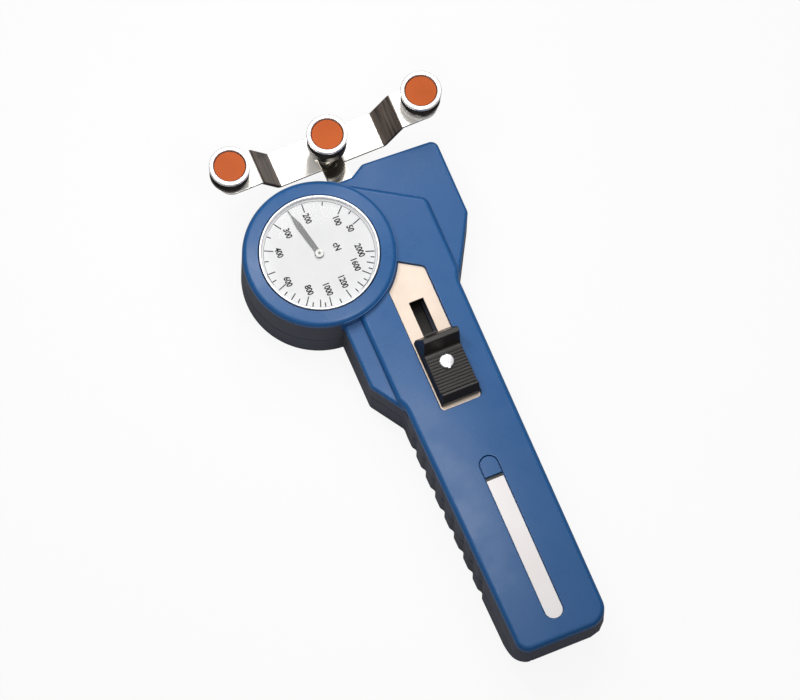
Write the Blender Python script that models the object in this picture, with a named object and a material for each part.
"""Hand-held dial tension gauge, modelled as the separate pieces that it is assembled from.

The gauge lies on its back. X runs across the handle, Y towards the rollers and Z out of the dial.
The origin is on the flat back, under the pointer's axis. All sizes are in metres.
"""

import math

import bmesh
import bpy
from mathutils import Vector
from mathutils.geometry import tessellate_polygon

# Fits shared by all pieces
GAP = 0.0003
OVERRUN = 0.002
ROUND_SIDES = 16
SCREW_SIDES = 12
DRUM_SIDES = 40
WIRE_SIDES = 5
ARC_STEP = math.radians(9)
CORNER_STEP = math.radians(30)

# Gear train
MODULE = 0.0004
SECTOR_TEETH = 180
SECTOR_CUT_TEETH = 8
PINION_TEETH = 12
GEAR_TEETH = 60
CENTRE_CLEARANCE = 0.00006
TOOTH_HEIGHT_SHARE = 0.8
TOOTH_DEPTH_SHARE = 1.15
TOOTH_ROOT_SHARE = 0.2
TOOTH_TIP_SHARE = 0.07
ARBOR_BEARING = math.radians(-20.26)
SECTOR_BEARING = math.radians(209.62)
SECTOR_RADIUS = MODULE * SECTOR_TEETH / 2
PINION_RADIUS = MODULE * PINION_TEETH / 2
GEAR_RADIUS = MODULE * GEAR_TEETH / 2
SECTOR_REACH = SECTOR_RADIUS + PINION_RADIUS + CENTRE_CLEARANCE
GEAR_REACH = GEAR_RADIUS + PINION_RADIUS + CENTRE_CLEARANCE
ARBOR_X = GEAR_REACH * math.cos(ARBOR_BEARING)
ARBOR_Y = GEAR_REACH * math.sin(ARBOR_BEARING)
PIVOT_X = ARBOR_X - SECTOR_REACH * math.cos(SECTOR_BEARING)
PIVOT_Y = ARBOR_Y - SECTOR_REACH * math.sin(SECTOR_BEARING)
ARBOR_RADIUS = 0.0008
MOVEMENT_LOW = 0.0151
MOVEMENT_PLATE = 0.001
MOVEMENT_DEPTH = 0.0056
MOVEMENT_FRONT = MOVEMENT_LOW + MOVEMENT_PLATE + MOVEMENT_DEPTH
MOVEMENT_RIM = 0.005
MOVEMENT_RADIUS = GEAR_REACH + MOVEMENT_RIM
MOVEMENT_SIDES = 24
GEAR_LIFT = 0.0007
GEAR_LOW = MOVEMENT_LOW + MOVEMENT_PLATE + GEAR_LIFT
GEAR_THICK = 0.001
PINION_OVERLAP = 0.0004
PILLAR_INSET = 0.003
PILLAR_PLACE = MOVEMENT_RADIUS - PILLAR_INSET
PILLAR_RADIUS = 0.0018
PILLAR_BEARINGS = [math.radians(75), math.radians(165), math.radians(255)]
PILLAR_SCREW = 0.0008
PILLAR_SCREW_HEAD = 0.0016
PILLAR_SCREW_THICK = 0.0007
PILLAR_BORE_DEPTH = 0.003
LUG_HALF = 0.003
LUG_REACH = 0.0027
LUG_INNER = PILLAR_PLACE - LUG_REACH
HAIR_HEIGHT = 0.0007
HAIR_DROP = 0.0024
HAIR_LOW = MOVEMENT_FRONT - HAIR_DROP
HAIR_WIDTH = 0.0003
HAIR_INNER = 0.0013
HAIR_OUTER = 0.0066
HAIR_TURNS = 4
HAIR_POINTS = 14
STUD_RADIUS = 0.0007

# Case, front view
DRUM_MARGIN = 0.00924
DRUM_RADIUS = MOVEMENT_RADIUS + DRUM_MARGIN
NOTCH_DEPTH = 0.004
NOTCH_FLOOR = DRUM_RADIUS - NOTCH_DEPTH
NOTCH_RIGHT = 0.0236
WING_TOP_LEFT_X = 0.0289
WING_RISE = 0.0032
WING_TOP_LEFT_Y = NOTCH_FLOOR + WING_RISE
WING_FALL = 0.0016
WING_TOP_RIGHT_Y = WING_TOP_LEFT_Y - WING_FALL
WING_REACH = 0.011
WING_RIGHT = PIVOT_X + WING_REACH
WING_DEPTH = 0.0184
WING_LOW = PIVOT_Y - WING_DEPTH
HANDLE_RIGHT = 0.0444
HANDLE_TOP = -0.0282
HANDLE_LENGTH = 0.1434
HANDLE_END = HANDLE_TOP - HANDLE_LENGTH
HANDLE_WIDTH_END = 0.0362
HANDLE_LEFT_END = HANDLE_RIGHT - HANDLE_WIDTH_END
HANDLE_WIDTH_TOP = 0.0382
HANDLE_LEFT_TOP_X = HANDLE_RIGHT - HANDLE_WIDTH_TOP
HANDLE_LEFT_TOP_Y = -0.067
LEFT_WING_X = -0.0021
LEFT_WING_LOW = -0.054
SMALL_CORNER = 0.0025
WING_CORNER = 0.003
END_LEFT_CORNER = 0.005
END_RIGHT_CORNER = 0.008
WALL = 0.002
WALL_RAMP = 0.0007
DRUM_RAMP = math.radians(1.5)
WING_OVERLAP = 0.0022

# Case, levels above the back
REAR_FLOOR = 0.002
REAR_TOP = 0.0125
REAR_EDGE = 0.0012
END_ROUND = 0.016
HOUSING_LOW = REAR_TOP + GAP
WING_OVER = 0.0018
WING_FRONT = MOVEMENT_FRONT + WING_OVER
WING_SKIN = 0.0021
HANDLE_STEP = 0.0025
HANDLE_FRONT = WING_FRONT + HANDLE_STEP
HANDLE_RIM = 0.0028
DRUM_STEP = 0.0035
DRUM_FRONT = HANDLE_FRONT + DRUM_STEP
DRUM_RIM = 0.0028
BEZEL_SKIN = 0.002
LIP_DEPTH = 0.002
LIP_LOW = HANDLE_FRONT - HANDLE_RIM - LIP_DEPTH
EDGE_WING = 0.0013
EDGE_HANDLE = 0.002
EDGE_DRUM = 0.002
EDGE_ROUND_SHARES = [(0, 1), (0.13, 0.5), (0.5, 0.13), (1, 0)]
END_LEVEL_SHARES = [0.35, 0.65]
PLATEAU_TOP = 0.006
PLATEAU_PROUD = 0.0015
PLATEAU_RIGHT = HANDLE_RIGHT + PLATEAU_PROUD
PLATEAU_SHOULDER_X = 0.0195
PLATEAU_SHOULDER_DROP = 0.0021
PLATEAU_SHOULDER_Y = NOTCH_FLOOR - PLATEAU_SHOULDER_DROP
PLATEAU_LEFT = HANDLE_LEFT_TOP_X - PLATEAU_PROUD
PLATEAU_CORNER = 0.004
HANDLE_SKIN = 0.0023
HANDLE_ROOF = HANDLE_FRONT - HANDLE_SKIN
HOLLOW_INSET = 0.0045

# Finger grip on the rear cover's left side, a straight edge with dips in it
GRIP_PROUD_TOP = 0.0002
GRIP_PROUD_END = 0.0009
GRIP_LEFT_TOP = HANDLE_LEFT_TOP_X - GRIP_PROUD_TOP
GRIP_LEFT_END = HANDLE_LEFT_END - GRIP_PROUD_END
GRIP_RAMP = 0.0035
DIP_START = 0.0095
DIP_TOP = HANDLE_LEFT_TOP_Y - DIP_START
DIP_PITCH = 0.00863
DIP_COUNT = 8
DIP_DEPTH = 0.0009
DIP_HALF = 0.0024
DIP_POINTS = 3

# Lens, dial and pointer
BEZEL_WIDTH = 0.006
BEZEL_BORE = DRUM_RADIUS - BEZEL_WIDTH
LENS_RING_OUTER = BEZEL_BORE - GAP
LENS_RING_WALL = 0.0012
LENS_RING_PROUD = 0.0004
LENS_RING_FRONT = DRUM_FRONT + LENS_RING_PROUD
LENS_SINK = 0.0001
LENS_FRONT = LENS_RING_FRONT - LENS_SINK
LENS_THICK = 0.0005
DIAL_MARGIN = 0.001
DIAL_RADIUS = BEZEL_BORE - DIAL_MARGIN
DIAL_DEPTH = 0.0021
DIAL_FRONT = LENS_FRONT - DIAL_DEPTH
DIAL_THICK = 0.0006
DIAL_FOOT_RADIUS = 0.0012
DIAL_FOOT_PLACE = 0.012
POINTER_SHORT = 0.0011
POINTER_LENGTH = DIAL_RADIUS - POINTER_SHORT
POINTER_TAPER = 0.0062
POINTER_WAIST = POINTER_LENGTH - POINTER_TAPER
POINTER_ROOT_WIDTH = 0.0014
POINTER_WAIST_WIDTH = 0.0022
POINTER_TIP_WIDTH = 0.0005
POINTER_THICK = 0.0003
POINTER_RING = 0.0017
POINTER_ROOT_SHARE = 0.8
POINTER_BEARING = math.radians(102.2)
HUB_RADIUS = 0.0018
HUB_THICK = 0.0004
HUB_SIDE_SHARE = 0.7
HUB_TOP_SHARE = 0.8

# Label slot
LABEL_ASIDE = 0.01825
LABEL_X = HANDLE_RIGHT - LABEL_ASIDE
LABEL_HALF = 0.0037
LABEL_FOOT = 0.0078
LABEL_LOW = HANDLE_END + LABEL_FOOT
LABEL_LENGTH = 0.0682
LABEL_TOP = LABEL_LOW + LABEL_LENGTH
LABEL_DEPTH = 0.0014
LABEL_FLOOR = HANDLE_FRONT - LABEL_DEPTH
LABEL_PAD_LENGTH = 0.008
LABEL_PAD_LOW = LABEL_TOP - LABEL_PAD_LENGTH
LABEL_GAP = 0.0013
LABEL_CARD_TOP = LABEL_PAD_LOW - LABEL_GAP
LABEL_CARD_THICK = 0.0004
LABEL_PAD_SINK = 0.0001
LABEL_PAD_FRONT = HANDLE_FRONT - LABEL_PAD_SINK

# Rating plate on the back
PLATE_ASIDE = 0.0069
PLATE_WIDTH = 0.023
PLATE_RIGHT = HANDLE_RIGHT - PLATE_ASIDE
PLATE_LEFT = PLATE_RIGHT - PLATE_WIDTH
PLATE_FOOT = 0.0336
PLATE_LENGTH = 0.03
PLATE_LOW = HANDLE_END + PLATE_FOOT
PLATE_TOP = PLATE_LOW + PLATE_LENGTH
PLATE_CORNER = 0.002
PLATE_RECESS = 0.0009
PLATE_THICK = 0.0005

# Cover screws and their bosses
BOSS_RADIUS = 0.0028
BOSS_HEIGHT = 0.0044
BOSS_TOP = HOUSING_LOW + BOSS_HEIGHT
SLIM_BOSS_RADIUS = 0.0018
SCREW_SHANK = 0.001
SCREW_REACH = 0.0029
SCREW_END = BOSS_TOP + SCREW_REACH
SCREW_HEAD = 0.0022
SCREW_HEAD_THICK = 0.0009
SCREW_SINK = 0.0014
SCREW_SLOT_WIDTH = 0.0005
SCREW_SLOT_DEPTH = 0.0004
DRUM_BOSS_INSET = 0.0042
DRUM_BOSS_PLACE = DRUM_RADIUS - DRUM_BOSS_INSET
DRUM_BOSS_BEARING = math.radians(120)
BOSS_INSET = 0.0045
HANDLE_BOSS_LIFT = 0.0222
HANDLE_BOSS_Y = HANDLE_END + HANDLE_BOSS_LIFT
LEFT_BOSS_LIFT = 0.008
LEFT_BOSS_Y = LEFT_WING_LOW + LEFT_BOSS_LIFT

# Level of the measuring arm, which the bracket runs under
ARM_THICK = 0.0013
ARM_UNDER_PLATE = 0.001
ARM_LOW = MOVEMENT_FRONT - ARM_UNDER_PLATE - ARM_THICK

# Guide bracket
BRACKET_X = 0.01925
BRACKET_AWAY = 0.008
BRACKET_LOW = NOTCH_FLOOR + BRACKET_AWAY
BRACKET_WIDTH = 0.0138
BRACKET_TOP = BRACKET_LOW + BRACKET_WIDTH
BRACKET_THICK = 0.0015
BRACKET_UNDER_ARM = 0.0005
BRACKET_MIDDLE = ARM_LOW - BRACKET_UNDER_ARM
BRACKET_RISE = 0.0126
BRACKET_END = BRACKET_MIDDLE + BRACKET_RISE
BRACKET_MIDDLE_HALF = 0.02065
BRACKET_JOGGLE = 0.00705
BRACKET_JOGGLE_HALF = BRACKET_MIDDLE_HALF + BRACKET_JOGGLE
BRACKET_END_LENGTH = 0.0163
BRACKET_HALF = BRACKET_JOGGLE_HALF + BRACKET_END_LENGTH
BRACKET_CORNER = 0.0055
NUT_RADIUS = 0.0033
NUT_THICK = 0.0022
NUT_SIDES = 6

# Rollers
ROLLER_RADIUS = 0.0074
ROLLER_GROOVE = 0.0054
ROLLER_BORE = 0.0043
ROLLER_HEIGHT = 0.01
ROLLER_FRONT = BRACKET_END + ROLLER_HEIGHT
ROLLER_RIM_RADIUS = 0.0077
ROLLER_RIM_BORE = 0.0061
ROLLER_RIM_DEPTH = 0.0017
ROLLER_RIM_EDGE = 0.0003
ROLLER_CAP_SINK = 0.0007
ROLLER_CAP_THICK = 0.001
GROOVE_DEPTH = 0.0048
GROOVE_FLOOR = 0.0008
GROOVE_HALF = 0.0022
ROLLER_SIDES = 20
AXLE_RADIUS = 0.0015
BEARING_DEPTH = 0.0045
SPACER_RADIUS = 0.0026
SPACER_STEP = 0.0003
MEASURING_X = 0.019
MEASURING_AWAY = 0.0133
MEASURING_Y = NOTCH_FLOOR + MEASURING_AWAY
MEASURING_DEPTH = 0.0114
MEASURING_BACK = ROLLER_FRONT - MEASURING_DEPTH
MEASURING_HUB = 0.004
GUIDE_INSET = 0.00555
GUIDE_SPREAD = BRACKET_HALF - GUIDE_INSET
GUIDE_LIFT = 0.00765
GUIDE_Y = BRACKET_LOW + GUIDE_LIFT

# Slide bar and its slot
BAR_LIFT = 0.0065
BAR_LOW = REAR_FLOOR + BAR_LIFT
BAR_THICK = 0.003
NECK_WIDTH = 0.0058
NECK_ASIDE = 0.00025
NECK_LEFT = BRACKET_X + NECK_ASIDE - NECK_WIDTH / 2
NECK_RIGHT = NECK_LEFT + NECK_WIDTH
NECK_BEND = -0.008
BAR_BEND_LENGTH = 0.012
BAR_BEND = NECK_BEND - BAR_BEND_LENGTH
BAR_WIDTH = 0.006
BAR_MIDDLE = 0.0264
BAR_LEFT = BAR_MIDDLE - BAR_WIDTH / 2
BAR_RIGHT = BAR_MIDDLE + BAR_WIDTH / 2
BAR_LENGTH = 0.05
BAR_END = BAR_BEND - BAR_LENGTH
RISER_INSET = 0.0015
RISER_LOW = BRACKET_LOW + RISER_INSET
RISER_TOP = BRACKET_TOP - RISER_INSET
POST_INSET = 0.0005
POST_LEFT = BAR_LEFT + POST_INSET
POST_RIGHT = BAR_RIGHT - POST_INSET
POST_LIFT = 0.002
POST_LOW = BAR_END + POST_LIFT
POST_LENGTH = 0.0248
POST_TOP = POST_LOW + POST_LENGTH
BRACKET_SCREW_RADIUS = 0.0009
BRACKET_SCREW_HEAD = 0.0016
BRACKET_SCREW_SPREAD = 0.0035
RAIL_WIDTH = 0.0018
RAIL_HEIGHT = 0.0098
RAIL_TOP = REAR_FLOOR + RAIL_HEIGHT
RAIL_LENGTH = 0.0435
RAIL_HIGH = BAR_END + RAIL_LENGTH
SLIDE_TRAVEL = 0.0132
SLOT_PLAY = 0.0004
SLOT_END_PLAY = 0.0006
SLOT_LEFT = POST_LEFT - SLOT_PLAY
SLOT_RIGHT = POST_RIGHT + SLOT_PLAY
SLOT_TOP = POST_TOP + SLIDE_TRAVEL + SLOT_END_PLAY
SLOT_LOW = POST_LOW - SLOT_END_PLAY
SLOT_MARGIN = 0.0005
RECESS_HALF = 0.00825
RECESS_LEFT = BAR_MIDDLE - RECESS_HALF
RECESS_RIGHT = BAR_MIDDLE + RECESS_HALF
RECESS_FOOT = 0.0049
RECESS_LOW = SLOT_LOW - RECESS_FOOT
RECESS_HEAD = 0.0109
RECESS_TOP_RIGHT = SLOT_TOP + RECESS_HEAD
RECESS_CORNER = 0.0018
RECESS_APEX_BEARING = math.radians(-26.6)
RECESS_DEPTH = 0.0024
RECESS_FLOOR = HANDLE_FRONT - RECESS_DEPTH
SLOT_PLATE_THICK = 0.0008
SLOT_PLATE_LOW = RECESS_FLOOR + GAP
HOLLOW_BELOW = 0.0035
HOLLOW_TOP = RECESS_LOW - HOLLOW_BELOW

# Thumb slider
SLIDER_INSET = 0.0007
SLIDER_LEFT = RECESS_LEFT + SLIDER_INSET
SLIDER_RIGHT = RECESS_RIGHT - SLIDER_INSET
SLIDER_FOOT = 0.0038
SLIDER_LOW = POST_LOW - SLIDER_FOOT
SLIDER_LENGTH = 0.027
SLIDER_TOP = SLIDER_LOW + SLIDER_LENGTH
SLIDER_LIFT = 0.0004
SLIDER_BASE = SLOT_PLATE_LOW + SLOT_PLATE_THICK + SLIDER_LIFT
SLIDER_THICK = 0.005
SLIDER_DECK = SLIDER_BASE + SLIDER_THICK
SLIDER_BACK_THICK = 0.0029
SLIDER_BACK = SLIDER_BASE + SLIDER_BACK_THICK
SLIDER_LIP_HEIGHT = 0.0104
SLIDER_LIP = SLIDER_BASE + SLIDER_LIP_HEIGHT
LIP_SLOPE = 0.0031
LIP_BACK = SLIDER_TOP - LIP_SLOPE
LIP_WIDTH = 0.002
LIP_FACE = LIP_BACK - LIP_WIDTH
LIP_LEAN = 0.0025
LIP_FOOT = LIP_FACE - LIP_LEAN
RIB_PITCH = 0.00125
RIB_DEPTH = 0.0004
RIB_COUNT = 12
TOE_SLOPE = 0.0021
TOE_CREST = SLIDER_LOW + TOE_SLOPE
TOE_RISE = 0.0007
TOE_HEIGHT = SLIDER_DECK + TOE_RISE
TOE_RUN = 0.0014
SLIDER_LEFT_LEAN_SHARE = 0.2
SLIDER_RIGHT_LEAN_SHARE = 0.115
SLIDER_SCREW_ASIDE = 0.0004
SLIDER_SCREW_X = BAR_MIDDLE + SLIDER_SCREW_ASIDE
SLIDER_SCREW_UP = 0.0143
SLIDER_SCREW_Y = SLIDER_LOW + SLIDER_SCREW_UP
SLIDER_SCREW_HEAD = 0.0027
SLIDER_SCREW_PROUD = 0.0013
SLIDER_SCREW_FRONT = SLIDER_DECK + SLIDER_SCREW_PROUD
SLIDER_SCREW_HEAD_THICK = 0.0016
SLIDER_SCREW_LENGTH = 0.0139
SLIDER_SCREW_END = SLIDER_SCREW_FRONT - SLIDER_SCREW_LENGTH
SLIDER_SCREW_SHANK = 0.0012
SLIDER_SCREW_EDGE = 0.0005

# Return spring
COIL_RADIUS = 0.0021
COIL_WIRE = 0.00035
COIL_TURNS = 14
COIL_POINTS = 8
COIL_LENGTH = 0.0285
COIL_LOW = BAR_END - COIL_LENGTH
ANCHOR_THICK = 0.002
ANCHOR_HALF = 0.003
ANCHOR_HEIGHT = 0.011
ANCHOR_TOP = REAR_FLOOR + ANCHOR_HEIGHT

# Measuring arm and its pivot
PIVOT_HUB = 0.005
PIVOT_RADIUS = 0.0015
PIVOT_BOSS = 0.0032
PIVOT_SEAT = 0.0078
PIVOT_PIN_LOW = REAR_FLOOR + PIVOT_SEAT
ARM_NECK_ASIDE = 0.0031
ARM_NECK_LEFT = MEASURING_X - ARM_NECK_ASIDE
ARM_NECK_WIDTH = 0.0083
ARM_NECK_RIGHT = ARM_NECK_LEFT + ARM_NECK_WIDTH
ARM_NECK_INSIDE = 0.0057
ARM_NECK_LOW = NOTCH_FLOOR - ARM_NECK_INSIDE
ARM_END_RADIUS = 0.0046
ARM_END_START = math.radians(-20)
FLANGE_AWAY = 0.0013
FLANGE_TOP = BRACKET_LOW - FLANGE_AWAY
FLANGE_LENGTH = 0.0129
FLANGE_LOW = FLANGE_TOP - FLANGE_LENGTH
FLANGE_WALL = 0.0008
FLANGE_HEIGHT = 0.006
FLANGE_BOTTOM = ARM_LOW - FLANGE_HEIGHT
ARM_WINDOW_RADIUS = 0.0042
ARM_WINDOW_ALONG = 0.0165
ARM_WINDOW_X = PIVOT_X - ARM_WINDOW_ALONG
ARM_WINDOW_BELOW = 0.0045
ARM_WINDOW_Y = PIVOT_Y - ARM_WINDOW_BELOW
ARM_PLAY_LEFT = 0.0013
ARM_PLAY_RIGHT = 0.0008
ARM_OPENING_LEFT = ARM_NECK_LEFT - ARM_PLAY_LEFT
ARM_OPENING_RIGHT = ARM_NECK_RIGHT + ARM_PLAY_RIGHT
PEG_RADIUS = 0.0012
PEG_LENGTH = 0.0034
PEG_LOW = ARM_LOW - PEG_LENGTH
PEG_ALONG = 0.0168
PEG_X = PIVOT_X - PEG_ALONG
LEAF_THICK = 0.0005
LEAF_DEEP = 0.0033
LEAF_UNDER_ARM = 0.0007
LEAF_LOW = ARM_LOW - LEAF_DEEP
LEAF_HIGH = ARM_LOW - LEAF_UNDER_ARM
LEAF_ROOT_ASIDE = 0.0035
LEAF_ROOT_BELOW = 0.0135
LEAF_ROOT_X = PIVOT_X + LEAF_ROOT_ASIDE
LEAF_ROOT_Y = PIVOT_Y - LEAF_ROOT_BELOW
LEAF_REACH = 0.023
LEAF_FALL = 0.005
LEAF_TIP_X = LEAF_ROOT_X - LEAF_REACH
LEAF_TIP_Y = LEAF_ROOT_Y - LEAF_FALL
BLOCK_HALF = 0.0022

# Finishes: colour, metallic value, roughness
BLUE = ((0.045, 0.135, 0.36), 0.0, 0.42)
SLATE = ((0.055, 0.062, 0.085), 0.0, 0.55)
BLACK = ((0.02, 0.018, 0.017), 0.0, 0.5)
STEEL = ((0.62, 0.6, 0.58), 1.0, 0.25)
BRASS = ((0.72, 0.52, 0.22), 1.0, 0.35)
SILVER = ((0.78, 0.72, 0.66), 1.0, 0.4)
DARK_STEEL = ((0.06, 0.055, 0.055), 1.0, 0.35)
ORANGE = ((0.52, 0.11, 0.035), 0.0, 0.5)
DIAL_WHITE = ((0.78, 0.78, 0.75), 0.0, 0.5)
NEEDLE_GREY = ((0.2, 0.2, 0.2), 0.0, 0.5)
HUB_WHITE = ((0.85, 0.85, 0.85), 0.0, 0.4)
CLEAR = ((0.9, 0.95, 0.97), 0.0, 0.05)
CARD_WHITE = ((0.9, 0.87, 0.85), 0.0, 0.5)

# Places worked out from the sizes above
WALL_TOP_WING = WING_FRONT - WING_SKIN - GAP
WALL_TOP_HANDLE = HANDLE_FRONT - HANDLE_RIM - GAP
WALL_TOP_DRUM = DRUM_FRONT - DRUM_RIM - GAP
CAVITY_RADIUS = DRUM_RADIUS - WALL - GAP
DIAL_LOW = DIAL_FRONT - DIAL_THICK
BEARING_BACK = ROLLER_FRONT - ROLLER_RIM_DEPTH - GAP - BEARING_DEPTH - GAP
GROOVE_LEVEL = ROLLER_FRONT - GROOVE_DEPTH


def clear_scene():
    """Remove every object that the scene starts with."""
    for item in list(bpy.data.objects):
        bpy.data.objects.remove(item, do_unlink=True)


def make_material(name, finish):
    """Make a Principled material, or return the one already made under this name."""
    existing = bpy.data.materials.get(name)
    if existing:
        return existing
    colour, metallic, roughness = finish
    material = bpy.data.materials.new(name)
    material.use_nodes = True
    shader = material.node_tree.nodes["Principled BSDF"]
    shader.inputs["Base Color"].default_value = (*colour, 1)
    shader.inputs["Metallic"].default_value = metallic
    shader.inputs["Roughness"].default_value = roughness
    material.diffuse_color = (*colour, 1)
    return material


def finish_mesh(name, shape):
    """Turn a bmesh into a mesh with its faces pointing out."""
    bmesh.ops.recalc_face_normals(shape, faces=shape.faces)
    mesh = bpy.data.meshes.new(name)
    shape.to_mesh(mesh)
    shape.free()
    return mesh


def make_piece(name, shape, finish_name, finish, place=(0, 0, 0), bearing=0.0):
    """Place one piece of the gauge in the scene, as its own object and material."""
    piece = bpy.data.objects.new(name, finish_mesh(name, shape))
    piece.data.materials.append(make_material(finish_name, finish))
    piece.location = place
    piece.rotation_euler = (0, 0, bearing)
    bpy.context.collection.objects.link(piece)
    return piece


def combine(piece, shape, operation):
    """Cut or join a shape given in the piece's own frame, and keep the result as its mesh."""
    tool = bpy.data.objects.new("tool", finish_mesh("tool", shape))
    tool.location = piece.location
    tool.rotation_euler = piece.rotation_euler
    bpy.context.collection.objects.link(tool)
    step = piece.modifiers.new(operation.lower(), "BOOLEAN")
    step.object = tool
    step.operation = operation
    step.solver = "EXACT"
    graph = bpy.context.evaluated_depsgraph_get()
    result = bpy.data.meshes.new_from_object(piece.evaluated_get(graph))
    piece.modifiers.clear()
    piece.data = result
    bpy.data.objects.remove(tool, do_unlink=True)


def cut(piece, shape):
    """Cut a shape out of a piece."""
    combine(piece, shape, "DIFFERENCE")


def join(piece, shape):
    """Join a shape onto a piece."""
    combine(piece, shape, "UNION")


def smooth(piece, degrees=35):
    """Shade a round piece smooth, with its sharp edges kept."""
    piece.data.shade_smooth()
    piece.data.set_sharp_from_angle(angle=math.radians(degrees))


def circle(radius, sides=ROUND_SIDES, centre=(0, 0), start=0.0):
    """Give the points of a circle, anticlockwise."""
    points = []
    for index in range(sides):
        angle = start + math.tau * index / sides
        points.append((centre[0] + radius * math.cos(angle), centre[1] + radius * math.sin(angle)))
    return points


def arc(centre, radius, start, end, step=ARC_STEP):
    """Give the points of an arc from one angle to another, both ends included."""
    count = max(1, round(abs(end - start) / step))
    points = []
    for index in range(count + 1):
        angle = start + (end - start) * index / count
        points.append((centre[0] + radius * math.cos(angle), centre[1] + radius * math.sin(angle)))
    return points


def corner_points(before, corner, after, step):
    """Give the arc that rounds one corner (x, y, radius), or the corner alone without a radius."""
    x, y, radius = corner[:3]
    if not radius:
        return [(x, y)]
    here = Vector((x, y))
    back = (Vector(before[:2]) - here).normalized()
    ahead = (Vector(after[:2]) - here).normalized()
    half = back.angle(ahead) / 2
    start = here + back * (radius / math.tan(half))
    middle = here + (back + ahead).normalized() * (radius / math.sin(half))
    side = 1 if back.x * ahead.y - back.y * ahead.x < 0 else -1
    first = math.atan2(start.y - middle.y, start.x - middle.x)
    return arc(middle, radius, first, first + side * (math.pi - 2 * half), step)


def rounded(corners, step=CORNER_STEP):
    """Give a closed outline's points, with an arc at each corner that has a radius."""
    points = []
    for index, corner in enumerate(corners):
        following = corners[(index + 1) % len(corners)]
        points += corner_points(corners[index - 1], corner, following, step)
    return points


def inset(points, depth):
    """Move an anticlockwise outline inwards by one depth, keeping its number of points."""
    moved = []
    for index, point in enumerate(points):
        here = Vector(point)
        before = (here - Vector(points[index - 1])).normalized()
        after = (Vector(points[(index + 1) % len(points)]) - here).normalized()
        normals = Vector((-before.y - after.y, before.x + after.x))
        moved.append(tuple(here + normals * (depth / (1 + before.dot(after)))))
    return moved


def loft(loops, closed=False):
    """Skin loops of 3-D points that have one count, capped at both ends or joined end to end."""
    shape = bmesh.new()
    rings = [[shape.verts.new(point) for point in loop] for loop in loops]
    pairs = list(zip(rings, rings[1:]))
    if closed:
        pairs.append((rings[-1], rings[0]))
    for low, high in pairs:
        for index in range(len(low)):
            following = (index + 1) % len(low)
            shape.faces.new((low[index], low[following], high[following], high[index]))
    if not closed:
        shape.faces.new(rings[0])
        shape.faces.new(rings[-1])
    return shape


def level(points, height):
    """Lift an outline to one height, or each point to its own height."""
    if isinstance(height, (list, tuple)):
        return [(x, y, z) for (x, y), z in zip(points, height)]
    return [(x, y, height) for x, y in points]


def prism(outline, low, high, holes=()):
    """Extrude an outline between two heights, with holes straight through."""
    shape = bmesh.new()
    loops = [list(outline), *[list(hole) for hole in holes]]
    flat = [Vector((x, y, 0)) for loop in loops for x, y in loop]
    bottom = [shape.verts.new((point.x, point.y, low)) for point in flat]
    top = [shape.verts.new((point.x, point.y, high)) for point in flat]
    for triangle in tessellate_polygon([[Vector((x, y, 0)) for x, y in loop] for loop in loops]):
        shape.faces.new([bottom[index] for index in triangle])
        shape.faces.new([top[index] for index in triangle])
    first = 0
    for loop in loops:
        for index in range(len(loop)):
            here = first + index
            following = first + (index + 1) % len(loop)
            shape.faces.new((bottom[here], bottom[following], top[following], top[here]))
        first += len(loop)
    return shape


def disc(radius, low, high, centre=(0, 0), sides=ROUND_SIDES, bore=0.0):
    """Make a round bar or, with a bore, a plain ring."""
    holes = [circle(bore, sides, centre)] if bore else []
    return prism(circle(radius, sides, centre), low, high, holes)


def turned(profile, sides=ROUND_SIDES, centre=(0, 0), closed=False):
    """Turn a profile of (radius, height) points about a vertical axis."""
    return loft([level(circle(radius, sides, centre), height) for radius, height in profile], closed)


def block(left, right, low_y, high_y, low, high):
    """Make a rectangular block."""
    return prism([(left, low_y), (right, low_y), (right, high_y), (left, high_y)], low, high)


def gear_outline(teeth, centre=(0, 0), tooth_at=0.0):
    """Give the outline of a spur gear that has a tooth centred on one bearing."""
    points = []
    for index in range(teeth):
        points += tooth(teeth, centre, tooth_at + math.tau * index / teeth)
    return points


def tooth(teeth, centre, bearing):
    """Give the four points of one tooth: root, tip, tip and root."""
    pitch = math.tau / teeth
    radius = MODULE * teeth / 2
    root = radius - MODULE * TOOTH_DEPTH_SHARE
    tip = radius + MODULE * TOOTH_HEIGHT_SHARE
    places = [
        (root, -TOOTH_ROOT_SHARE * pitch),
        (tip, -TOOTH_TIP_SHARE * pitch),
        (tip, TOOTH_TIP_SHARE * pitch),
        (root, TOOTH_ROOT_SHARE * pitch),
    ]
    return [
        (centre[0] + reach * math.cos(bearing + turn), centre[1] + reach * math.sin(bearing + turn))
        for reach, turn in places
    ]


def polar(reach, bearing):
    """Give the point at a distance and bearing from the pointer's axis."""
    return (reach * math.cos(bearing), reach * math.sin(bearing))


def drum_bearing_right():
    """Give the bearing at which the drum meets the notch floor."""
    return math.asin(NOTCH_FLOOR / DRUM_RADIUS)


def drum_bearing_left():
    """Give the bearing at which the drum meets the left wing."""
    return math.tau - math.acos(LEFT_WING_X / DRUM_RADIUS)


def handle_left(y):
    """Give the place of the handle's left edge, which leans a little."""
    share = (y - HANDLE_LEFT_TOP_Y) / (HANDLE_END - HANDLE_LEFT_TOP_Y)
    return HANDLE_LEFT_TOP_X + (HANDLE_LEFT_END - HANDLE_LEFT_TOP_X) * share


def grip_left(y):
    """Give the x of the rear cover's left edge, between its dips, at one height."""
    share = (HANDLE_LEFT_TOP_Y - y) / (HANDLE_LEFT_TOP_Y - HANDLE_END)
    return GRIP_LEFT_TOP + (GRIP_LEFT_END - GRIP_LEFT_TOP) * share


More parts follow.
